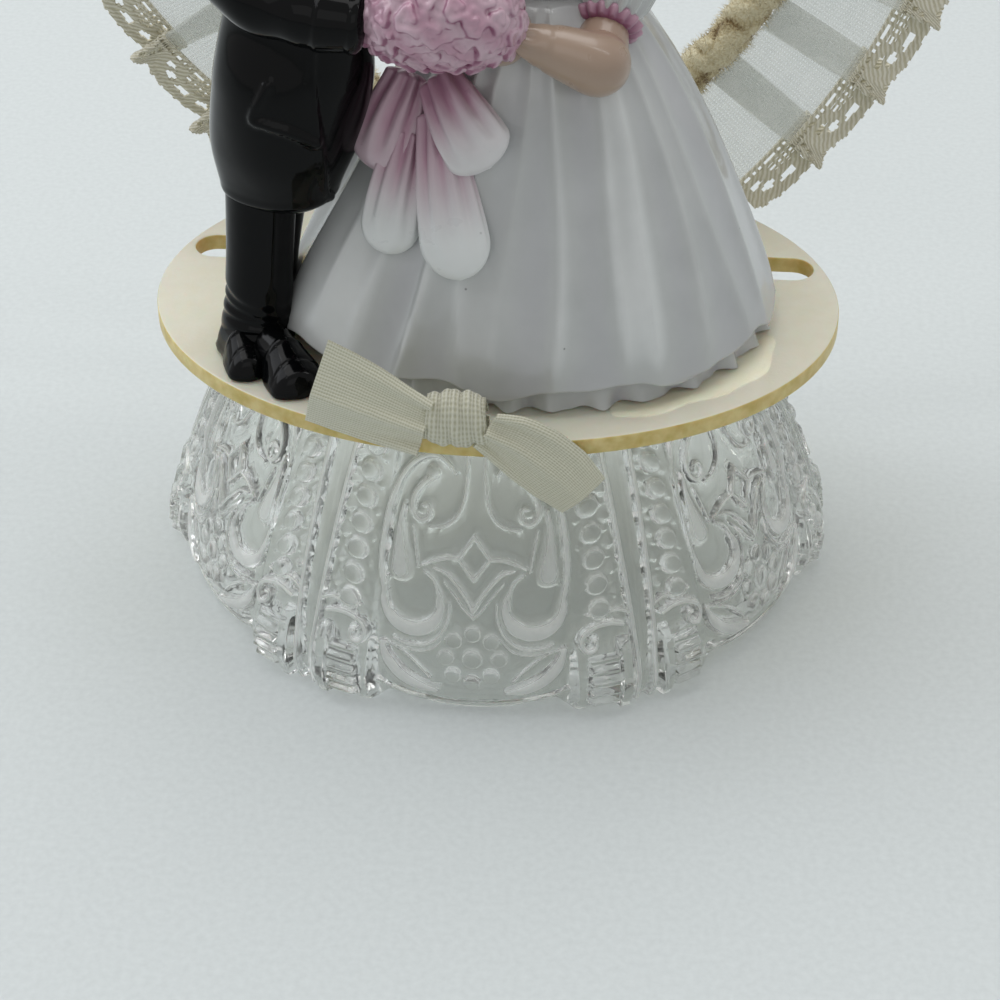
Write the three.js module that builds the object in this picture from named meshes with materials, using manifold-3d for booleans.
// Wedding cake topper: porcelain couple on an oval plastic disc with a clear base and a ruffled heart.
// Millimetres, X to the right, Y to the back, Z up from the surface that the base stands on.
import * as THREE from 'three';
import { mergeVertices } from 'three/addons/utils/BufferGeometryUtils.js';
import Module from 'manifold-3d';

const wasm = await Module();
wasm.setup();

// Clearance that the glue line leaves between neighbouring pieces
const seatGap = 0.3;

// Slivers below this size are dropped from the moulded base
const mouldSliver = 0.3;

// Clear moulded base: half sizes of its oval plan at the top, at the widest level and at the foot
const baseHeight = 44.5;
const baseWall = 2.4;
const baseTopX = 39.5;
const baseTopY = 37.5;
const baseBellyX = 54.4;
const baseBellyY = 51.5;
const baseBellyHeight = 5;
const baseFootTuck = 1.4;
const baseSides = 6;
const legRise = 1.2;
const legHalfAngle = 13;
const ridgeRise = 0.7;
const footRise = 1.1;
const footHeight = 11;
const archHeight = 2.4;
const scrollRidge = 0.9;
const ringPlace = new THREE.Vector2(0.37, 0.44);
const ringRadius = 4.3;
const ringBand = 0.9;
const rodRadius = 1.5;
const rodAcross = 0.747;
const starRise = 0.9;
const starMiddle = 0.56;
const rosetteRadius = 5.3;
const rosetteRise = 1.2;
const rosetteMiddle = 0.236;
const rosetteLobes = 6;
const leafHalfWidth = 1.4;

// Oval display disc with an empty slot near each end
const discHalfWidth = 57;
const discHalfDepth = 43;
const discThickness = 3;
const slotLength = 14;
const slotWidth = 7;
const slotRim = 1.8;
const slotBack = 12;

// Bell gown with its petticoat hem
const gownCentre = new THREE.Vector2(6.1, -3.5);
const gownLean = new THREE.Vector2(1.8, -1.9);
const gownHeight = 60;
const gownHemHeight = 3.8;
const gownHemX = 40.6;
const gownHemY = 32.8;
const gownWaistX = 9.5;
const gownWaistY = 8;
const gownSwell = 0.68;
const foldCount = 24;
const foldDepth = 0.9;
const frillCount = 30;
const frillDepth = 0.7;
const frillInset = 1.9;

// Bride above the waist
const bodiceHeight = 15;
const bodiceLean = 0.8;
const bustX = 11;
const bustY = 9;
const brideNeckRadius = 3.1;
const brideHeadHalf = new THREE.Vector3(7.4, 8, 9.2);
const brideNeckLength = 6.5;
const hairThickness = 1.4;
const armRadius = 3.5;
const puffRadius = 6.2;
const bandThickness = 1.6;
const veilLength = 25;
const veilThickness = 1;
const bouquetRadius = 11.4;
const roseRadius = 4.7;
const roseCount = 9;
const ribbonHalfWidth = 3.4;
const ribbonThickness = 1.5;

// Groom
const groomReach = 41.8;
const groomBearing = 197.5;
const legHeight = 27.5;
const coatLength = 61.5;
const coatHalfWidth = 12.4;
const coatHalfDepth = 11;
const trouserRadius = 5.4;
const shoeLength = 14;
const shoeHalfWidth = 3.15;
const shoeHeight = 6.2;
const sleeveRadius = 5;
const groomHeadHalf = new THREE.Vector3(7.5, 8.2, 9.4);
const groomNeckRadius = 3.5;
const groomNeckLength = 4.5;
const collarHeight = 2.6;
const shirtThickness = 0.8;

// Ruffled heart behind the couple
const heartBack = 34;
const heartHalfWidth = 55;
const heartHeight = 109;
const heartWidest = 74;
const heartLobe = 0.56;
const heartCleft = 17;
const wireRadius = 0.8;
const braidRadius = 3;
const footLength = 7;
const organzaWidth = 17.5;
const laceWidth = 7.5;
const scallopDepth = 1.4;
const ruffleThickness = 0.9;
const pleatCount = 24;
const pleatDepth = 3.2;
const ruffleStart = 0.075;

// Satin bow on the front edge of the disc
const bowRibbonWidth = 15;
const bowThickness = 0.9;
const bowTailLeft = 17.5;
const bowTailRight = 15.2;
const knotRadius = 4.3;

const discTop = baseHeight + seatGap + discThickness;
const topper = new THREE.Group();
topper.name = 'wedding_cake_topper';
const onDisc = new THREE.Group();
onDisc.name = 'on_disc';
onDisc.position.z = discTop;
topper.add(onDisc);

// Shared helpers
function vec(x, y, z) {
  return new THREE.Vector3(x, y, z);
}

function radians(degrees) {
  return degrees * (Math.PI / 180);
}

function blend(list, t) {
  const place = Math.min(Math.max(t, 0), 1) * (list.length - 1);
  const low = Math.min(Math.floor(place), list.length - 2);
  return THREE.MathUtils.lerp(list[low], list[low + 1], place - low);
}

function signedVolume(geometry) {
  const at = geometry.attributes.position;
  const index = geometry.index;
  const a = vec(0, 0, 0);
  const b = vec(0, 0, 0);
  const c = vec(0, 0, 0);
  let sum = 0;
  for (let i = 0; i < index.count; i += 3) {
    a.fromBufferAttribute(at, index.getX(i));
    b.fromBufferAttribute(at, index.getX(i + 1));
    c.fromBufferAttribute(at, index.getX(i + 2));
    sum += a.dot(b.cross(c));
  }
  return sum / 6;
}

// Fan over a round end ring, or row by row over the end of a folded sheet, which isn't convex
function fanEnd(points, first, count) {
  const middle = vec(0, 0, 0);
  for (let k = 0; k < count; k++) {
    middle.addScaledVector(points[first + k], 1 / count);
  }
  const hub = points.push(middle) - 1;
  return Array.from({ length: count }, (_, k) => [hub, first + k, first + ((k + 1) % count)]).flat();
}

function rowEnd(points, first, count) {
  const faces = [];
  for (let k = 0; k < count / 2 - 1; k++) {
    const a = first + k;
    const c = first + count - 2 - k;
    faces.push(a, c, c + 1, a, a + 1, c);
  }
  return faces;
}

// Closed body from rings of equal count
function ringLoft(rings, endFaces = fanEnd) {
  const count = rings[0].length;
  const points = rings.flat();
  const faces = [];
  for (let r = 0; r + 1 < rings.length; r++) {
    for (let k = 0; k < count; k++) {
      const a = r * count + k;
      const b = r * count + ((k + 1) % count);
      faces.push(a, b, b + count, a, b + count, a + count);
    }
  }
  faces.push(...endFaces(points, 0, count).reverse());
  faces.push(...endFaces(points, (rings.length - 1) * count, count));
  const geometry = new THREE.BufferGeometry().setFromPoints(points);
  geometry.setIndex(signedVolume(geometry.setIndex(faces)) < 0 ? faces.reverse() : faces);
  return geometry;
}

function onOval(at, out, angle, height) {
  return vec(at.x + (at.rx + out) * Math.cos(angle), at.y + (at.ry + out) * Math.sin(angle), height);
}

function ring(count, point) {
  return Array.from({ length: count }, (_, k) => point((2 * Math.PI * k) / count));
}

// Upright body from level oval stations {x, y, z, rx, ry}
function bodyLoft(stations, sides, grow = 0) {
  const last = stations.length - 1;
  return ringLoft(stations.map((s, i) => {
    const level = s.z + (i === 0 ? -grow : i === last ? grow : 0);
    return ring(sides, (a) => onOval(s, grow, a, level));
  }));
}

// Limb or band swept through hand-placed points, wide across faceDir and thick along it
function sweep(points, wides, thicks, faceDir, { sides = 10, steps = 9, grow = 0 } = {}) {
  const path = new THREE.CatmullRomCurve3(points);
  const rings = [];
  for (let i = 0; i <= steps; i++) {
    const t = i / steps;
    const centre = path.getPoint(t);
    const along = path.getTangent(t);
    centre.addScaledVector(along, i === 0 ? -grow : i === steps ? grow : 0);
    const across = vec(0, 0, 0).crossVectors(along, faceDir).normalize();
    const out = vec(0, 0, 0).crossVectors(across, along).normalize();
    const wide = blend(wides, t) + grow;
    const thick = blend(thicks, t) + grow;
    rings.push(ring(sides, (a) => centre.clone()
      .addScaledVector(across, wide * Math.cos(a))
      .addScaledVector(out, thick * Math.sin(a))));
  }
  return ringLoft(rings);
}

// Thin closed sheet: points at (u, v) moved both ways along its facing direction
function sheetBody(columns, rows, point, facing, thickness) {
  const loop = [];
  for (let j = 0; j <= rows; j++) {
    loop.push([j / rows, 1]);
  }
  for (let j = rows; j >= 0; j--) {
    loop.push([j / rows, -1]);
  }
  const rings = [];
  for (let i = 0; i <= columns; i++) {
    const u = i / columns;
    rings.push(loop.map(([v, side]) => point(u, v).addScaledVector(facing(u, v), (side * thickness) / 2)));
  }
  return ringLoft(rings, rowEnd);
}

function toSolid(geometry) {
  const plain = geometry.clone();
  plain.deleteAttribute('normal');
  plain.deleteAttribute('uv');
  const merged = mergeVertices(plain, 1e-5);
  const triVerts = Uint32Array.from(merged.index.array);
  const vertProperties = Float32Array.from(merged.attributes.position.array);
  return new wasm.Manifold(new wasm.Mesh({ numProp: 3, vertProperties, triVerts }));
}

function toGeometry(solid) {
  const mesh = solid.getMesh();
  const geometry = new THREE.BufferGeometry();
  geometry.setAttribute('position', new THREE.BufferAttribute(Float32Array.from(mesh.vertProperties), 3));
  geometry.setIndex(Array.from(mesh.triVerts));
  return geometry;
}

// Body less the room that its neighbours take up
function cutBy(geometry, ...neighbours) {
  return toGeometry(neighbours.reduce((body, other) => body.subtract(toSolid(other)), toSolid(geometry)));
}

function joined(...geometries) {
  const [first, ...rest] = geometries.map(toSolid);
  return toGeometry(rest.reduce((body, other) => body.add(other), first));
}

function oval(centre, half, grow = 0, columns = 13, rows = 9) {
  const geometry = new THREE.SphereGeometry(1, columns, rows).rotateX(Math.PI / 2);
  geometry.scale(half.x + grow, half.y + grow, half.z + grow);
  return geometry.translate(centre.x, centre.y, centre.z);
}

function block(low, high) {
  const size = vec(0, 0, 0).subVectors(high, low);
  const middle = vec(0, 0, 0).addVectors(low, high).multiplyScalar(0.5);
  return new THREE.BoxGeometry(size.x, size.y, size.z).translate(middle.x, middle.y, middle.z);
}

function piece(parent, name, geometry, colour, roughness, extra = {}) {
  const material = new THREE.MeshStandardMaterial({ color: colour, roughness, metalness: 0, ...extra });
  const mesh = new THREE.Mesh(geometry, material);
  mesh.name = name;
  parent.add(mesh);
}

const porcelainWhite = '#e4e3e6';
const glossBlack = '#15151a';
const skin = '#e3b9a4';
const rosePink = '#c98aa2';
const brownHair = '#5b3a28';
const satinOlive = '#b5b49b';
const clear = { transparent: true, opacity: 0.35 };

// Clear base: bell shell with six ribbed legs, scroll feet between scalloped aprons, open underneath
function baseHalf(half, top, height) {
  if (height < baseBellyHeight) {
    const rise = Math.sin((Math.PI / 2) * (height / baseBellyHeight));
    return half - baseFootTuck * (1 - rise);
  }
  const share = (height - baseBellyHeight) / (baseHeight - baseBellyHeight);
  return top + (half - top) * (1 - share ** 1.35);
}

function step(low, high, value) {
  return THREE.MathUtils.smoothstep(value, low, high);
}

function baseRelief(fromLeg, height) {
  const aside = Math.abs(fromLeg);
  const leg = legRise * (1 - step(legHalfAngle - 1, legHalfAngle + 2, aside));
  const ridge = ridgeRise * (1 - step(3.4, 5.2, aside)) * (0.35 + 0.65 * step(0, 3, aside));
  const foot = footRise * step(4.5, 6, aside) * (1 - step(legHalfAngle - 1, legHalfAngle + 2, aside));
  return leg + ridge + foot * (1 - step(footHeight - 2, footHeight, height));
}

function baseFootLine(fromLeg) {
  const half = 180 / baseSides;
  const aside = Math.abs(fromLeg);
  const apron = ((half - aside) / (half - legHalfAngle - 4)) ** 2;
  const rise = step(legHalfAngle, legHalfAngle + 2.5, aside);
  return aside < legHalfAngle ? 0 : archHeight * Math.min(rise, apron);
}

const sector = 360 / baseSides;

// Shell columns stand at the edges of the leg, its ridges and the panel, given in degrees from the leg
function baseShell() {
  const half = sector / 2;
  const edges = [3.4, 5.2, legHalfAngle - 2, legHalfAngle + 1, legHalfAngle + 3.5, half - 8];
  const offsets = [-half, ...edges.map((edge) => -edge).reverse(), 0, ...edges];
  const legs = Array.from({ length: baseSides }, (_, k) => -90 + sector * (k + 0.5));
  const column = (leg, fromLeg) => ({ angle: radians(leg + fromLeg), fromLeg });
  const columns = legs.flatMap((leg) => offsets.map((fromLeg) => column(leg, fromLeg)));
  const shell = (share, ceiling, thicken) => columns.map(({ angle, fromLeg }) => {
    const low = baseFootLine(fromLeg);
    const height = low + share * (ceiling - low);
    const out = thicken(fromLeg, height);
    const x = baseHalf(baseBellyX, baseTopX, height) + out;
    const y = baseHalf(baseBellyY, baseTopY, height) + out;
    return vec(x * Math.cos(angle), y * Math.sin(angle), height);
  });
  const outerShares = [0, 0.055, 0.12, 0.2, 0.25, 0.45, 0.65, 0.83, 1];
  const innerShares = [1, 0.7, 0.35, 0];
  const outer = outerShares.map((share) => shell(share, baseHeight, baseRelief));
  const inner = innerShares.map((share) => shell(share, baseHeight - baseWall, () => -baseWall));
  return ringLoft([...inner, ...outer]);
}

// Point on the wall: across is the share of half a panel from its middle, up the share of the base's height
function onPanel(panel, across, up, out = 0) {
  const angle = radians(-90 + sector * (panel + across / 2));
  const x = baseHalf(baseBellyX, baseTopX, up * baseHeight) + out;
  const y = baseHalf(baseBellyY, baseTopY, up * baseHeight) + out;
  return vec(x * Math.cos(angle), y * Math.sin(angle), up * baseHeight);
}

function wallFacing(panel, across, up) {
  const aside = onPanel(panel, across + 0.01, up).sub(onPanel(panel, across - 0.01, up));
  const rise = onPanel(panel, across, up + 0.01).sub(onPanel(panel, across, up - 0.01));
  return aside.cross(rise).normalize();
}

// Ornament of one panel: scrolls, crescent rings, star, rosette, leaves and the rods on the legs
function panelScroll(panel, side) {
  const line = [[0.2, 0.92], [0.37, 0.94], [0.52, 0.865], [0.573, 0.73], [0.573, 0.55], [0.51, 0.4]];
  const points = line.map(([across, up]) => onPanel(panel, side * across, up));
  const radii = [scrollRidge * 0.6, scrollRidge, scrollRidge];
  return sweep(points, radii, radii, wallFacing(panel, 0, 0.5), { sides: 4, steps: 7 });
}

function panelRing(panel, side) {
  const facing = wallFacing(panel, side * ringPlace.x, ringPlace.y);
  const turn = new THREE.Quaternion().setFromUnitVectors(vec(0, 0, 1), facing);
  const at = onPanel(panel, side * ringPlace.x, ringPlace.y);
  const points = [-150, -60, 30, 120, 190].map((degrees) => {
    const a = radians(degrees);
    const flat = vec(-side * Math.sin(a), -Math.cos(a), 0).multiplyScalar(ringRadius);
    return flat.applyQuaternion(turn).add(at);
  });
  const bands = [ringBand * 0.5, ringBand * 1.3, ringBand * 1.3, ringBand * 0.8, ringBand * 0.4];
  return sweep(points, bands, bands, facing, { sides: 4, steps: 6 });
}

function panelStar(panel) {
  const points = [[0, 0.68], [0.1, 0.6], [0.32, 0.57], [0.13, 0.52], [0, 0.4]];
  const mirrored = points.slice(1, -1).reverse().map(([across, up]) => [-across, up]);
  const edge = [...points, ...mirrored];
  const rim = (out) => edge.map(([across, up]) => onPanel(panel, across, up, out));
  const shrink = (up) => THREE.MathUtils.lerp(starMiddle, up, 0.3);
  const crown = edge.map(([across, up]) => onPanel(panel, across * 0.3, shrink(up), starRise));
  return ringLoft([rim(-starRise), rim(0), crown]);
}

function panelRosette(panel) {
  const facing = wallFacing(panel, 0, rosetteMiddle);
  const turn = new THREE.Quaternion().setFromUnitVectors(vec(0, 0, 1), facing);
  const at = onPanel(panel, 0, rosetteMiddle);
  const edge = (reach, out) => ring(2 * rosetteLobes, (a) => {
    const lobe = reach * (1 + 0.12 * Math.cos(rosetteLobes * a));
    return vec(lobe * Math.cos(a), lobe * Math.sin(a), out).applyQuaternion(turn).add(at);
  });
  const foot = [edge(rosetteRadius, -rosetteRise), edge(rosetteRadius, rosetteRise / 6)];
  return ringLoft([...foot, edge(rosetteRadius / 2, rosetteRise)]);
}

function panelLeaf(panel, side) {
  const line = [[0.53, 0.265], [0.45, 0.18], [0.33, 0.125], [0.21, 0.1]];
  const points = line.map(([across, up]) => onPanel(panel, side * across, up));
  const radii = [leafHalfWidth * 0.4, leafHalfWidth, leafHalfWidth, leafHalfWidth * 0.5];
  const thicks = radii.map((r) => r * 0.8);
  return sweep(points, radii, thicks, wallFacing(panel, side * 0.4, 0.18), { sides: 4, steps: 3 });
}

function legRod(panel, side) {
  const points = [0.98, 0.8, 0.6, 0.41].map((up) => onPanel(panel, side * rodAcross, up, legRise));
  const radii = [rodRadius, rodRadius];
  return sweep(points, radii, radii, wallFacing(panel, side, 0.5), { sides: 4, steps: 4 });
}

function crystalBase() {
  const above = block(
    vec(-baseBellyX, -baseBellyY, baseHeight),
    vec(baseBellyX, baseBellyY, 2 * baseHeight),
  );
  const paired = [panelScroll, panelRing, panelLeaf, legRod];
  const ornament = Array.from({ length: baseSides }, (_, panel) => [
    panelStar(panel),
    panelRosette(panel),
    ...paired.flatMap((form) => [form(panel, 1), form(panel, -1)]),
  ]).flat();
  const moulding = toSolid(joined(baseShell(), ...ornament)).subtract(toSolid(above));
  return toGeometry(moulding.simplify(mouldSliver));
}
piece(topper, 'crystal_base', crystalBase(), '#dfe3e2', 0.08, clear);

// Oval disc: the slots follow its ends, one each side, behind the middle
function displayDisc() {
  const outline = new THREE.Shape().absellipse(0, 0, discHalfWidth, discHalfDepth, 0, 2 * Math.PI);
  const end = discHalfWidth * Math.sqrt(1 - (slotBack / discHalfDepth) ** 2) - slotRim - slotWidth / 2;
  const start = end - slotLength + slotWidth;
  const half = slotWidth / 2;
  [1, -1].forEach((side) => {
    const slot = new THREE.Path();
    slot.absarc(side * end, slotBack, half, -Math.PI / 2, Math.PI / 2, side < 0);
    slot.absarc(side * start, slotBack, half, Math.PI / 2, -Math.PI / 2, side < 0);
    outline.holes.push(new THREE.Path(slot.getPoints(5)));
  });
  const settings = { depth: discThickness, bevelEnabled: false, curveSegments: 28 };
  const geometry = new THREE.ExtrudeGeometry(outline, settings);
  return geometry.translate(0, 0, baseHeight + seatGap);
}
piece(topper, 'display_disc', displayDisc(), '#d9d2b0', 0.35, { transparent: true, opacity: 0.9 });

// Gown: long soft pleats that spread from the waist to the hem
function gownAt(height) {
  const share = Math.min(Math.max((height - gownHemHeight) / (gownHeight - gownHemHeight), 0), 1);
  const swell = (1 - share) ** gownSwell;
  return {
    x: gownCentre.x + gownLean.x * share,
    y: gownCentre.y + gownLean.y * share,
    rx: gownWaistX + (gownHemX - gownWaistX) * swell,
    ry: gownWaistY + (gownHemY - gownWaistY) * swell,
    swell,
  };
}

function gownSkirt(grow = 0) {
  const shares = [0, 0.03, 0.12, 0.28, 0.46, 0.64, 0.82, 0.95, 1];
  return ringLoft(shares.map((share, i) => {
    const end = i === 0 ? -grow : i === shares.length - 1 ? grow : 0;
    const height = gownHemHeight + share * (gownHeight - gownHemHeight);
    const at = gownAt(height);
    const tuck = i === 0 ? 0.8 : 0;
    return ring(foldCount * 3, (a) => {
      const fold = foldDepth * (0.2 + 0.8 * at.swell) * Math.cos(foldCount * a + 0.7 * Math.sin(5 * a));
      const out = grow + fold - tuck;
      return onOval(at, out, a, height + end);
    });
  }));
}
piece(onDisc, 'gown_skirt', gownSkirt(), porcelainWhite, 0.15);

function petticoatHem(grow = 0) {
  const at = gownAt(gownHemHeight);
  const levels = [seatGap, 0.6 * gownHemHeight, gownHemHeight - seatGap];
  return ringLoft(levels.map((height, i) => ring(frillCount * 3, (a) => {
    const frill = frillDepth * (i === 0 ? 1 : 0.5) * Math.cos(frillCount * a);
    const out = frill - frillInset + grow;
    return onOval(at, out, a, height);
  })));
}
piece(onDisc, 'petticoat_hem', petticoatHem(), porcelainWhite, 0.15);

// Clear glue that ran out from under the gown at the front right
function gluePuddle() {
  const at = gownAt(0);
  const from = -1.15;
  const to = -0.25;
  const steps = 14;
  const room = frillDepth - frillInset + seatGap;
  const spread = 5.5;
  const line = (k, reach) => {
    const a = THREE.MathUtils.lerp(from, to, k / steps);
    const out = room + reach * (0.25 + 0.75 * Math.sin((Math.PI * k) / steps));
    return new THREE.Vector2(at.x + (at.rx + out) * Math.cos(a), at.y + (at.ry + out) * Math.sin(a));
  };
  const outerEdge = Array.from({ length: steps + 1 }, (_, k) => line(k, spread));
  const innerEdge = Array.from({ length: steps + 1 }, (_, k) => line(steps - k, 0));
  const shape = new THREE.Shape([...outerEdge, ...innerEdge]);
  return new THREE.ExtrudeGeometry(shape, { depth: 0.6, bevelEnabled: false }).translate(0, 0, seatGap);
}
piece(onDisc, 'glue_puddle', gluePuddle(), '#e6e6df', 0.1, clear);

// Bride: bodice, neck, head, hair, veil and flower band
const waist = gownAt(gownHeight);
const bodiceFoot = gownHeight + seatGap;
const bodiceTop = bodiceFoot + bodiceHeight;

function bodice(grow = 0) {
  const shares = [0, 0.3, 0.66, 0.86, 1];
  const wides = [gownWaistX - 0.7, gownWaistX, bustX, bustX - 0.2, bustX - 1.2];
  const deeps = [gownWaistY - 0.7, gownWaistY - 0.1, bustY, bustY - 0.7, bustY - 2];
  const stations = shares.map((share, i) => ({
    x: waist.x - bodiceLean * share,
    y: waist.y,
    z: bodiceFoot + share * bodiceHeight,
    rx: wides[i],
    ry: deeps[i],
  }));
  return bodyLoft(stations, 24, grow);
}

function brideNeck(grow = 0) {
  const low = bodiceTop + seatGap;
  const shares = [0, 0.28, 0.5, 0.75, 1];
  const wides = [bustX - 1.6, bustX - 3.4, 5, brideNeckRadius + 0.2, brideNeckRadius];
  const deeps = [bustY - 2.4, bustY - 3.6, 4.4, brideNeckRadius + 0.2, brideNeckRadius];
  const stations = shares.map((share, i) => ({
    x: waist.x - bodiceLean - 0.6 * share,
    y: waist.y - 0.5 * share,
    z: low + share * brideNeckLength,
    rx: wides[i],
    ry: deeps[i],
  }));
  return bodyLoft(stations, 18, grow);
}

const brideHeadCentre = vec(
  waist.x - 1.4,
  waist.y - 1.2,
  bodiceTop + brideNeckLength + brideHeadHalf.z - 2.6,
);
const brideFacing = vec(-0.22, -0.97, 0).normalize();

function headWithNose(centre, half, facing) {
  const nose = centre.clone().addScaledVector(facing, half.y - 0.2).add(vec(0, 0, -half.z * 0.12));
  return joined(oval(centre, half), oval(nose, vec(1, 1, 1.2), 0, 8, 6));
}

function hairShell(centre, half, facing, grow = 0) {
  return oval(centre.clone().addScaledVector(facing, -0.5).add(vec(0, 0, 0.4)), half, hairThickness + grow);
}

// Hair cap: a shell round the head, open at the face and cut level at the nape
function hairCap(centre, half, facing, nape, neck) {
  const shell = hairShell(centre, half, facing);
  const reach = 3 * half.z;
  const face = new THREE.BoxGeometry(reach, reach, reach);
  face.rotateZ(Math.atan2(facing.y, facing.x));
  const edge = centre.clone().addScaledVector(facing, reach / 2 + 1.6);
  face.translate(edge.x, edge.y, edge.z + half.z * 0.45 - reach / 2);
  const below = block(
    vec(centre.x - reach, centre.y - reach, centre.z - reach),
    vec(centre.x + reach, centre.y + reach, centre.z - nape),
  );
  return cutBy(shell, oval(centre, half, seatGap), face, below, neck);
}

function brideVeil() {
  const top = brideHeadCentre.z + brideHeadHalf.z * 0.62;
  const near = brideHeadHalf.y + hairThickness + seatGap + veilThickness;
  const facing = (u, v) => {
    const a = Math.PI / 2 + (u - 0.5) * (2.5 - 0.5 * v);
    return vec(Math.cos(a), Math.sin(a), 0);
  };
  const point = (u, v) => {
    const fold = 0.6 * v * Math.cos(u * 7 * 2 * Math.PI);
    const crown = 1 - (1 - Math.min(v / 0.3, 1)) ** 2;
    const out = near * (0.8 + 0.2 * crown) + 3.5 * v + fold;
    const at = facing(u, v).multiplyScalar(out);
    return vec(brideHeadCentre.x + at.x, brideHeadCentre.y + at.y + 0.4, top - v * veilLength);
  };
  return sheetBody(21, 3, point, facing, veilThickness);
}

function flowerBand() {
  const r = brideHeadHalf.x + hairThickness + seatGap + bandThickness;
  const points = [-62, -31, 0, 31, 62].map((degrees) => {
    const a = radians(degrees);
    const rise = (brideHeadHalf.z + hairThickness + seatGap + bandThickness + 0.4) * Math.cos(a);
    return vec(brideHeadCentre.x + r * Math.sin(a), brideHeadCentre.y - 1.5, brideHeadCentre.z + rise);
  });
  const thick = [0.8, 1.2, bandThickness, 1.2, 0.8];
  return sweep(points, thick, thick, vec(0, 1, 0), { sides: 8, steps: 12 });
}

// Bride's arms: puffed sleeve, pink cuff band, then bare arm with hand
function armPoints(side) {
  const shoulder = vec(waist.x - bodiceLean + side * (bustX - 0.4), waist.y + 0.4, bodiceTop - 1.5);
  const elbow = vec(waist.x + side * 7.4 + 1.2, waist.y - 13.4, gownHeight - 6.5);
  const reach = side > 0 ? vec(bouquetRadius - 1, 0.5, -2) : vec(-1, bouquetRadius * 0.4, -1);
  const hand = bouquetCentre.clone().add(reach);
  const cuff = vec(waist.x + side * 9.6 + 0.6, waist.y - 6.6, gownHeight + 2.2);
  return { shoulder, cuff, elbow, hand };
}
const bouquetCentre = vec(waist.x - 14, waist.y - 20, gownHeight + 2);

function puffSleeve(side, grow = 0) {
  const { shoulder, cuff } = armPoints(side);
  const points = [shoulder, shoulder.clone().lerp(cuff, 0.5).add(vec(side * 2, 0, 0.6)), cuff];
  const radii = [2.5, puffRadius - 0.8, puffRadius, puffRadius - 0.6, armRadius + 1];
  return sweep(points, radii, radii, vec(0, 1, 0.3), { sides: 10, steps: 7, grow });
}

function cuffBand(side, grow = 0) {
  const { cuff, elbow } = armPoints(side);
  const along = elbow.clone().sub(cuff).normalize();
  const from = cuff.clone().addScaledVector(along, seatGap);
  const to = from.clone().addScaledVector(along, bandThickness * 1.5);
  const radii = [armRadius + 1, armRadius + 1.7, armRadius + 0.8];
  const points = [from, from.clone().lerp(to, 0.5), to];
  return sweep(points, radii, radii, vec(0, 1, 0.3), { sides: 10, steps: 3, grow });
}

function bareArm(side, grow = 0) {
  const { cuff, elbow, hand } = armPoints(side);
  const along = elbow.clone().sub(cuff).normalize();
  const from = cuff.clone().addScaledVector(along, bandThickness * 1.5 + 2 * seatGap);
  const bend = elbow.clone().add(vec(0, -2.4, 0.6));
  const points = [from, elbow, bend, bend.clone().lerp(hand, 0.55), hand];
  const radii = [1, 1.06, 1.03, 0.91, 0.74, 0.8, 0.4].map((share) => share * armRadius);
  return sweep(points, radii, radii, vec(side, 0.4, 0.2), { sides: 10, steps: 9, grow });
}

// Bouquet: roses spread over a dome by the golden angle
function bouquet(grow = 0) {
  const roses = [oval(bouquetCentre, vec(1, 1, 1).multiplyScalar(bouquetRadius - roseRadius), grow, 10, 8)];
  const out = vec(-0.1, -0.8, 0.55).normalize();
  const turn = new THREE.Quaternion().setFromUnitVectors(vec(0, 0, 1), out);
  const golden = Math.PI * (3 - Math.sqrt(5));
  for (let k = 0; k < roseCount; k++) {
    const rise = 1 - (1.35 * (k + 0.5)) / roseCount;
    const reach = Math.sqrt(1 - rise * rise);
    const place = vec(reach * Math.cos(k * golden), reach * Math.sin(k * golden), rise);
    const at = bouquetCentre.clone().addScaledVector(place.applyQuaternion(turn), bouquetRadius - roseRadius);
    roses.push(new THREE.IcosahedronGeometry(roseRadius + grow, 1).translate(at.x, at.y, at.z));
  }
  return joined(...roses);
}

// Bouquet ribbons: two loops and two tails that lie on the front of the gown
function onGown(x, height, lift) {
  const at = gownAt(height);
  const side = Math.min(Math.abs((x - at.x) / at.rx), 0.97);
  const y = at.y - (at.ry + foldDepth + lift) * Math.sqrt(1 - side * side);
  return vec(x - lift * side, y, height);
}

function gownRibbon(from, to, wides, lift, grow = 0) {
  const lay = ribbonThickness / 2 + seatGap + lift;
  const points = [0, 0.35, 0.7, 1].map((t) => (
    onGown(THREE.MathUtils.lerp(from.x, to.x, t), THREE.MathUtils.lerp(from.y, to.y, t), lay)
  ));
  const thick = wides.map(() => ribbonThickness / 2);
  return sweep(points, wides, thick, vec(-0.45, -0.85, 0.3), { sides: 10, steps: 9, grow });
}
const root = new THREE.Vector2(bouquetCentre.x - 1.2, bouquetCentre.z - bouquetRadius - 3.5);
const loopWides = [1.6, 2.6, ribbonHalfWidth, ribbonHalfWidth + 0.4, ribbonHalfWidth - 0.4, 1.4];
const tailWides = [1.6, 2.2, ribbonHalfWidth - 0.6, ribbonHalfWidth, ribbonHalfWidth - 0.4, 1.6];
const ribbonSpec = {
  ribbon_loop_left: [[root.x - 3.2, root.y], [root.x - 8, root.y - 12.5], loopWides],
  ribbon_loop_right: [[root.x + 3, root.y], [root.x + 8.4, root.y - 9.5], loopWides],
  ribbon_tail_left: [[root.x - 3, root.y - 12.5], [root.x - 7.6, root.y - 25], tailWides],
  ribbon_tail_right: [[root.x + 1.2, root.y - 10], [root.x + 3.6, root.y - 26], tailWides],
};
const ribbons = Object.fromEntries(Object.entries(ribbonSpec).map(([name, [from, to, wides]]) => (
  [name, (grow = 0) => gownRibbon(new THREE.Vector2(...from), new THREE.Vector2(...to), wides, 0.2, grow)]
)));

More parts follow.
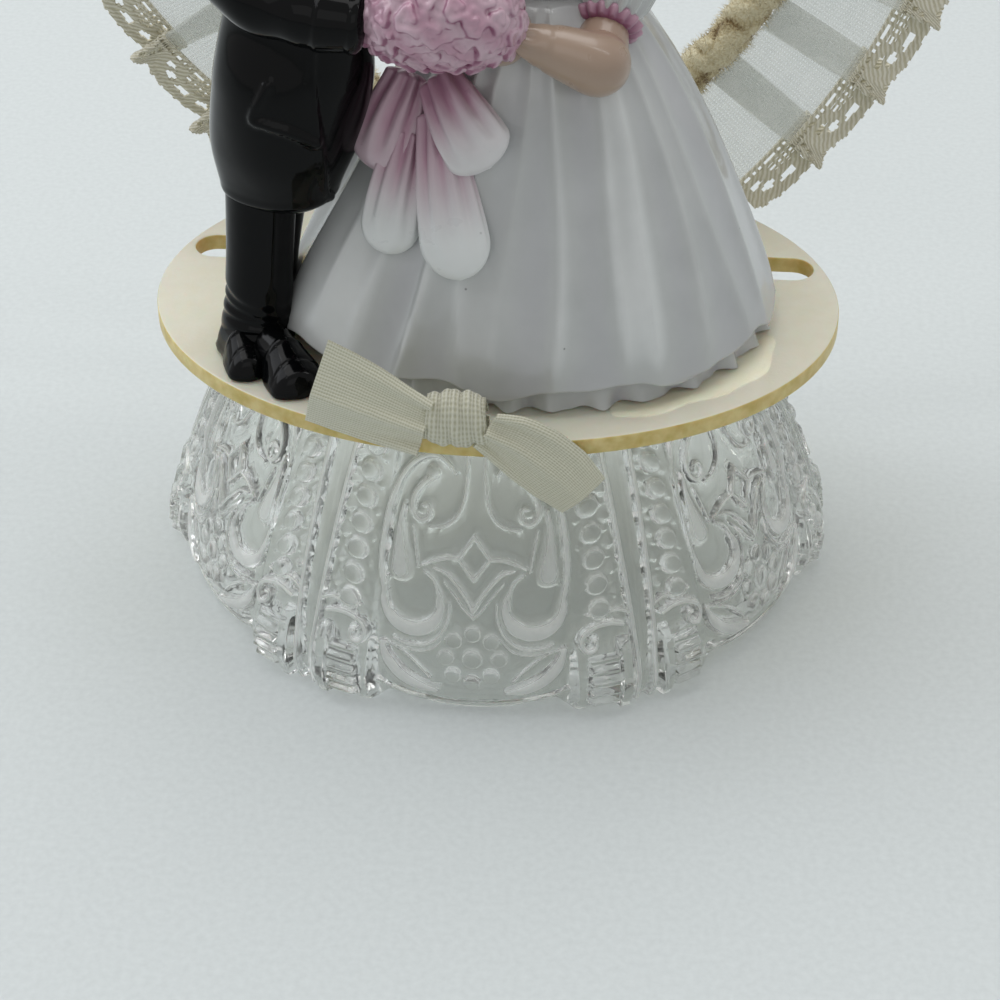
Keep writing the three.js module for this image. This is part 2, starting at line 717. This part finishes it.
// Groom: placed beside the gown, on a bearing seen from its centre
const bearing = radians(groomBearing);
const groomAt = vec(
  gownCentre.x + groomReach * Math.cos(bearing) * (gownHemX / 42),
  gownCentre.y + groomReach * Math.sin(bearing) * (gownHemY / 42) - 3,
  0,
);
const coatFoot = legHeight;
const coatTop = coatFoot + coatLength;
const toBride = vec(0.36, -0.93, 0).normalize();
const shoeFacing = vec(0.47, -0.88, 0).normalize();

function tailcoat(grow = 0) {
  const shares = [0, 0.02, 0.09, 0.2, 0.36, 0.5, 0.62, 0.76, 0.88, 0.95, 1];
  const wides = [0.62, 0.86, 0.99, 1, 0.94, 0.85, 0.84, 0.97, 1.02, 0.84, 0.42];
  const leanX = 8;
  const stations = shares.map((share, i) => ({
    x: groomAt.x + leanX * share * share,
    y: groomAt.y + 0.8 * share,
    z: coatFoot + share * coatLength,
    rx: wides[i] * coatHalfWidth,
    ry: wides[i] * (i < 5 ? 1 : 0.92) * coatHalfDepth,
  }));
  return bodyLoft(stations, 24, grow);
}

const coatHead = vec(groomAt.x + 8, groomAt.y + 0.8, coatTop);

function trousers() {
  const top = coatFoot - seatGap;
  const foot = shoeHeight + seatGap;
  const lean = 1;
  const station = (x, y, z, rx, ry) => ({
    x: groomAt.x + x,
    y: groomAt.y + y,
    z,
    rx: trouserRadius + rx,
    ry: trouserRadius + ry,
  });
  const leg = (x, y) => bodyLoft([
    station(x, y, foot, -0.7, -0.4),
    station(x, y, foot + 2, -0.3, 0),
    station(x + lean, y * 0.6, (foot + top) / 2, 0, 0),
    station(x + lean, y * 0.3, top, 0.3, 0.5),
  ], 16);
  return joined(leg(-5.6, -4), leg(0.6, -5.2));
}

// Shoe: rounded last with a flat sole, from heel to toe
function shoe(heel) {
  const along = shoeFacing;
  const across = vec(-along.y, along.x, 0);
  const shares = [0, 0.06, 0.2, 0.4, 0.6, 0.8, 0.93, 1];
  const wides = [0.45, 0.72, 0.84, 0.84, 0.96, 1, 0.74, 0.34];
  const rises = [0.6, 0.9, 1, 1, 0.84, 0.66, 0.5, 0.3];
  return ringLoft(shares.map((share, i) => ring(14, (a) => {
    const lift = Math.max(Math.sin(a), 0) * rises[i] * (shoeHeight - seatGap);
    return heel.clone()
      .addScaledVector(along, share * shoeLength)
      .addScaledVector(across, wides[i] * shoeHalfWidth * Math.cos(a))
      .add(vec(0, 0, seatGap + lift - heel.z));
  })));
}

function groomArm(side, grow = 0) {
  const drop = -coatLength * 0.12;
  const shoulder = coatHead.clone().add(vec(side * (coatHalfWidth - 1.5), side < 0 ? -1 : 1.5, drop));
  const front = [
    shoulder,
    vec(groomAt.x - 3.5, groomAt.y - 8.5, coatFoot + coatLength * 0.66),
    vec(bouquetCentre.x - bouquetRadius - 9, bouquetCentre.y - 2.6, bouquetCentre.z + 2.2),
    vec(bouquetCentre.x - bouquetRadius - 2.2, bouquetCentre.y - 3, bouquetCentre.z + 1),
  ];
  const behind = [
    shoulder,
    vec(waist.x - 16, waist.y + 8.5, bodiceTop - 1),
    vec(waist.x - 5, waist.y + gownWaistY + sleeveRadius + 1, bodiceFoot + 7),
    vec(waist.x + 2, waist.y + gownWaistY + sleeveRadius + 0.6, bodiceFoot + 5.4),
  ];
  const radii = [0.92, 1.12, 1.06, 1, 0.88].map((share) => share * sleeveRadius);
  return sweep(side < 0 ? front : behind, radii, radii, vec(0.2, 0.3, 1), { sides: 12, steps: 11, grow });
}

function groomHand(side) {
  const wrist = side < 0
    ? vec(bouquetCentre.x - bouquetRadius - 1.6, bouquetCentre.y - 3, bouquetCentre.z + 0.9)
    : vec(waist.x + 2.6, waist.y + gownWaistY + sleeveRadius + 0.5, bodiceFoot + 5.2);
  const reach = side < 0 ? vec(5.6, 1.4, -1) : vec(6.4, -2.4, -1.2);
  const points = [wrist, wrist.clone().addScaledVector(reach, 0.5), wrist.clone().add(reach)];
  return sweep(points, [2.3, 2.7, 2.6, 1.3], [2, 2.1, 1.9, 1], vec(0.1, 0.2, 1), { sides: 10, steps: 6 });
}

// Patch of the shirt seen in the coat's opening
function shirtFront() {
  const half = 4.8;
  const wedge = new THREE.Shape([
    new THREE.Vector2(0, coatTop - coatLength * 0.34),
    new THREE.Vector2(half, coatTop - 3.4),
    new THREE.Vector2(-half, coatTop - 3.4),
  ]);
  const depth = 2 * coatHalfDepth;
  const prism = new THREE.ExtrudeGeometry(wedge, { depth, bevelEnabled: false });
  prism.rotateX(Math.PI / 2).rotateZ(Math.atan2(toBride.x, -toBride.y));
  prism.translate(coatHead.x - 1.5, coatHead.y, 0);
  const layer = toSolid(tailcoat(seatGap + shirtThickness)).intersect(toSolid(prism));
  return toGeometry(layer.subtract(toSolid(tailcoat(seatGap))).subtract(toSolid(groomArm(-1, seatGap))));
}

const groomHeadCentre = coatHead.clone().add(vec(0.8, -1, groomNeckLength + groomHeadHalf.z - 1.4));

function groomNeck(grow = 0) {
  const low = coatTop + seatGap;
  const high = groomHeadCentre.z - groomHeadHalf.z * 0.5;
  return bodyLoft([
    { x: coatHead.x, y: coatHead.y, z: low, rx: groomNeckRadius, ry: groomNeckRadius },
    { x: coatHead.x + 0.6, y: coatHead.y - 0.5, z: high, rx: groomNeckRadius, ry: groomNeckRadius },
  ], 14, grow);
}

function shirtCollar() {
  const inside = groomNeckRadius + 2 * seatGap + 0.2;
  const outside = inside + 1;
  const profile = [
    new THREE.Vector2(inside, 0),
    new THREE.Vector2(outside, 0),
    new THREE.Vector2(outside - 0.3, collarHeight),
    new THREE.Vector2(inside, collarHeight),
    new THREE.Vector2(inside, 0),
  ];
  const geometry = new THREE.LatheGeometry(profile, 20).rotateX(Math.PI / 2);
  return geometry.translate(coatHead.x + 0.15, coatHead.y - 0.15, coatTop + seatGap);
}

function bowTie() {
  const out = groomNeckRadius + 2 * seatGap + 2.9;
  const middle = coatHead.clone().addScaledVector(toBride, out).add(vec(0, 0, 0.6));
  const across = vec(-toBride.y, toBride.x, 0);
  const points = [-4.2, -2.1, 0, 2.1, 4.2].map((d) => middle.clone().addScaledVector(across, d));
  return sweep(points, [1.7, 1.5, 0.8, 1.5, 1.7], [0.9, 1, 0.9, 1, 0.9], toBride, { sides: 8, steps: 8 });
}

function boutonniere() {
  const across = vec(-toBride.y, toBride.x, 0);
  const at = coatHead.clone().addScaledVector(across, 6.2).addScaledVector(toBride, coatHalfDepth * 0.86);
  return oval(at.add(vec(0, 0, -coatLength * 0.2)), vec(1.9, 1.9, 1.9), 0, 10, 8);
}

// Fired pieces go on the disc in the order in which each one is fitted to those before it
piece(onDisc, 'groom_trousers', cutBy(trousers(), gownSkirt(seatGap)), glossBlack, 0.1);
const shoeSet = { groom_shoe_left: [-1.9, -3.9], groom_shoe_right: [-10.6, -1.8] };
Object.entries(shoeSet).forEach(([name, [x, y]]) => {
  const heel = vec(groomAt.x + x, groomAt.y + y, 0);
  const room = gownSkirt(seatGap);
  piece(onDisc, name, cutBy(shoe(heel), room, petticoatHem(seatGap)), glossBlack, 0.1);
});
piece(onDisc, 'groom_tailcoat', cutBy(tailcoat(), gownSkirt(seatGap)), glossBlack, 0.1);
piece(onDisc, 'bride_bodice', bodice(), porcelainWhite, 0.15);
piece(onDisc, 'bride_neck', brideNeck(), skin, 0.25);
const brideHead = headWithNose(brideHeadCentre, brideHeadHalf, brideFacing);
piece(onDisc, 'bride_head', cutBy(brideHead, brideNeck(seatGap)), skin, 0.25);
const brideHair = hairCap(brideHeadCentre, brideHeadHalf, brideFacing, 7, brideNeck(seatGap));
piece(onDisc, 'bride_hair', brideHair, brownHair, 0.25);
const bouquetBody = cutBy(bouquet(), gownSkirt(seatGap), bodice(seatGap));
piece(onDisc, 'bouquet_roses', bouquetBody, rosePink, 0.25);
[['left', 1], ['right', -1]].forEach(([name, side]) => {
  const puff = cutBy(puffSleeve(side), bodice(seatGap), brideNeck(seatGap), bouquet(seatGap));
  piece(onDisc, `bride_sleeve_${name}`, puff, porcelainWhite, 0.15);
  const room = [gownSkirt(seatGap), bodice(seatGap), bouquet(seatGap), puffSleeve(side, seatGap)];
  piece(onDisc, `sleeve_band_${name}`, cutBy(cuffBand(side), ...room), rosePink, 0.25);
  const arm = cutBy(bareArm(side), ...room, cuffBand(side, seatGap));
  piece(onDisc, `bride_arm_${name}`, arm, skin, 0.25);
});
Object.entries(ribbons).forEach(([name, ribbon], i, all) => {
  const before = all.slice(0, i).map(([, other]) => other(seatGap));
  const room = [gownSkirt(seatGap), bouquet(seatGap), tailcoat(seatGap), ...before];
  piece(onDisc, name, cutBy(ribbon(), ...room), '#d9b3c4', 0.2);
});
const sleeveRoom = [tailcoat(seatGap), bodice(seatGap), bouquet(seatGap), gownSkirt(seatGap)];
piece(onDisc, 'groom_sleeve_right', cutBy(groomArm(-1), ...sleeveRoom), glossBlack, 0.1);
const behindRoom = [...sleeveRoom, puffSleeve(-1, seatGap)];
piece(onDisc, 'groom_sleeve_left', cutBy(groomArm(1), ...behindRoom), glossBlack, 0.1);
piece(onDisc, 'groom_hand_right', cutBy(groomHand(-1), bouquet(seatGap), groomArm(-1, seatGap)), skin, 0.25);
piece(onDisc, 'groom_hand_left', cutBy(groomHand(1), bodice(seatGap), groomArm(1, seatGap)), skin, 0.25);
piece(onDisc, 'groom_shirt_front', shirtFront(), porcelainWhite, 0.15);
piece(onDisc, 'groom_collar', shirtCollar(), porcelainWhite, 0.15);
const groomHead = joined(headWithNose(groomHeadCentre, groomHeadHalf, toBride), groomNeck());
piece(onDisc, 'groom_head', groomHead, skin, 0.25);
const groomHair = hairCap(groomHeadCentre, groomHeadHalf, toBride, 5, groomNeck(seatGap));
piece(onDisc, 'groom_hair', groomHair, brownHair, 0.25);
piece(onDisc, 'groom_bow_tie', cutBy(bowTie(), tailcoat(seatGap + shirtThickness + seatGap)), rosePink, 0.25);
piece(onDisc, 'groom_boutonniere', cutBy(boutonniere(), tailcoat(seatGap)), rosePink, 0.25);
const veilRoom = [
  bodice(seatGap),
  groomArm(1, seatGap),
  puffSleeve(1, seatGap),
  puffSleeve(-1, seatGap),
  hairShell(brideHeadCentre, brideHeadHalf, brideFacing, seatGap),
];
piece(onDisc, 'bride_veil', cutBy(brideVeil(), ...veilRoom), porcelainWhite, 0.15);
const bandRoom = hairShell(brideHeadCentre, brideHeadHalf, brideFacing, seatGap);
piece(onDisc, 'flower_band', cutBy(flowerBand(), bandRoom), rosePink, 0.25);

// Heart: one half as three curves from the tip, mirrored for the other half
const heartFoot = braidRadius + seatGap;

function heartHalf(side) {
  const at = (x, z) => vec(side * x * heartHalfWidth, heartBack, heartFoot + z);
  const tip = at(0.055, 0.8);
  const widest = at(1, heartWidest);
  const crown = at(heartLobe, heartHeight);
  const cleft = heartHeight - heartCleft;
  return [
    new THREE.CubicBezierCurve3(tip, at(0.36, 8), at(0.9, heartWidest * 0.43), widest),
    new THREE.CubicBezierCurve3(widest, at(1.04, heartHeight - 12), at(0.84, heartHeight), crown),
    new THREE.CubicBezierCurve3(crown, at(heartLobe / 2, heartHeight), at(0.2, cleft), at(0, cleft)),
  ];
}

function reversed(curve) {
  return new THREE.CubicBezierCurve3(curve.v3, curve.v2, curve.v1, curve.v0);
}

function heartPath() {
  const path = new THREE.CurvePath();
  const right = heartHalf(1);
  const left = heartHalf(-1).reverse().map(reversed);
  [...right, ...left].forEach((curve) => path.add(curve));
  return path;
}

// Wire core: it leaves the braid at the tip and is bent back flat on the disc under glue
function heartWire(grow = 0) {
  const path = new THREE.CurvePath();
  const [start] = heartHalf(1);
  const tip = start.v0;
  const flat = wireRadius + seatGap;
  const rear = (side) => vec(side * tip.x, heartBack + footLength, flat);
  const knee = (side) => vec(side * tip.x, heartBack + braidRadius + 0.6, flat);
  const bend = (side) => vec(side * tip.x * 0.4, heartBack + 0.4, flat + 0.2);
  const entry = (side) => vec(side * tip.x, heartBack, tip.z);
  path.add(new THREE.LineCurve3(rear(1), knee(1)));
  path.add(new THREE.QuadraticBezierCurve3(knee(1), bend(1), entry(1)));
  heartPath().curves.forEach((curve) => path.add(curve));
  path.add(new THREE.QuadraticBezierCurve3(entry(-1), bend(-1), knee(-1)));
  path.add(new THREE.LineCurve3(knee(-1), rear(-1)));
  const section = new THREE.Shape().absarc(0, 0, wireRadius + grow, 0, 2 * Math.PI);
  return new THREE.ExtrudeGeometry(section, { steps: 40, extrudePath: path, curveSegments: 3 });
}
piece(onDisc, 'heart_wire', heartWire(), '#b9b6ab', 0.3, { metalness: 0.9 });

function heartBraid(grow = 0) {
  const section = new THREE.Shape().absarc(0, 0, braidRadius + grow, 0, 2 * Math.PI);
  return new THREE.ExtrudeGeometry(section, { steps: 32, extrudePath: heartPath(), curveSegments: 4 });
}
piece(onDisc, 'heart_braid', cutBy(heartBraid(), heartWire(seatGap)), '#b89d74', 0.9);

// Pleated ruffle: it stands out from the braid in the heart's plane, with folds that deepen to the edge
function ruffleFrame(u) {
  const path = heartPath();
  const t = THREE.MathUtils.lerp(ruffleStart, 1 - ruffleStart, u);
  const at = path.getPointAt(t);
  const along = path.getTangentAt(t);
  const out = vec(along.z, 0, -along.x).normalize();
  const inner = Math.abs(at.x) < heartLobe * heartHalfWidth && at.z > heartFoot + heartWidest;
  return { at, out: inner ? vec(0, 0, 1) : out };
}

function ruffle(from, to, rows, edge) {
  const columns = pleatCount * 4;
  const frames = Array.from({ length: columns + 1 }, (_, i) => ruffleFrame(i / columns));
  const pick = (u) => frames[Math.round(u * columns)];
  const point = (u, v) => {
    const { at, out } = pick(u);
    const pleat = Math.cos(2 * Math.PI * pleatCount * u);
    const reach = THREE.MathUtils.lerp(from, to + edge * pleat * pleat, v);
    const depth = (pleatDepth * reach) / (organzaWidth + laceWidth);
    return at.clone().addScaledVector(out, reach).add(vec(0, depth * pleat, 0));
  };
  return sheetBody(columns, rows, point, () => vec(0, 1, 0), ruffleThickness);
}
const ruffleFrom = braidRadius + seatGap + 0.1;
const ruffleTo = ruffleFrom + organzaWidth;
const organza = cutBy(ruffle(ruffleFrom, ruffleTo, 1, 0), heartBraid(seatGap));
piece(onDisc, 'organza_ruffle', organza, '#e9e9e6', 0.6, { transparent: true, opacity: 0.6 });
const laceFrom = ruffleTo + seatGap;
const lace = ruffle(laceFrom, laceFrom + laceWidth - scallopDepth, 1, scallopDepth);
piece(onDisc, 'lace_edging', lace, '#c9c3a6', 0.9);

// Glue over the bent wire feet
function heartGlue() {
  const [start] = heartHalf(1);
  const half = vec(start.v0.x + 2.4, footLength / 2 - 0.2, 2.6);
  const middle = vec(0, heartBack + braidRadius + seatGap + half.y + 0.6, seatGap);
  const dome = oval(middle, half, 0, 14, 8);
  const under = block(
    vec(-discHalfWidth, 0, -discThickness),
    vec(discHalfWidth, 2 * discHalfDepth, seatGap),
  );
  return cutBy(dome, under, heartWire(seatGap));
}
piece(onDisc, 'heart_glue', heartGlue(), '#e6e6df', 0.15, clear);

// Satin bow: a flat left tail on edge, a gathered knot and a right tail that hangs over the disc's edge
const bowFront = discHalfDepth + seatGap;
const knotCentre = vec(-2.8, -bowFront + 0.2, knotRadius);

function bowTail(side) {
  const length = side < 0 ? bowTailLeft : bowTailRight;
  const start = knotCentre.clone().add(vec(side * (knotRadius + seatGap), -1.2, 0));
  const stand = seatGap + 2 * bowThickness;
  const edge = (x) => -discHalfDepth * Math.sqrt(1 - (x / discHalfWidth) ** 2) - stand;
  const drop = side < 0 ? [0, 1.2, 2.8, 4.7] : [0, -2.6, -6.4, -11.3];
  const points = [0, 0.33, 0.67, 1].map((t, i) => {
    const x = start.x + side * t * length;
    return vec(x, Math.min(edge(x), start.y + 1.2 * t), start.z + drop[i]);
  });
  const half = bowRibbonWidth / 2;
  const wides = side < 0 ? [2.4, 4.6, 6, half - 0.6, half] : [2.2, 4, 5.2, 5.4, 5];
  const thicks = wides.map((_, i) => bowThickness * (i === 0 ? 1.4 : 0.6));
  return sweep(points, wides, thicks, vec(side * 0.1, -1, 0.15), { sides: 8, steps: 9 });
}
piece(onDisc, 'bow_left_tail', bowTail(-1), satinOlive, 0.45);
piece(onDisc, 'bow_right_tail', bowTail(1), satinOlive, 0.45);

function bowKnot() {
  const half = vec(knotRadius, 2.1, knotRadius - 0.2);
  const disc = block(
    vec(-discHalfWidth, -discHalfDepth - seatGap, -discThickness),
    vec(discHalfWidth, 0, seatGap),
  );
  return cutBy(oval(knotCentre, half, 0, 14, 10), disc);
}
piece(onDisc, 'bow_knot', bowKnot(), satinOlive, 0.45);

export default topper;
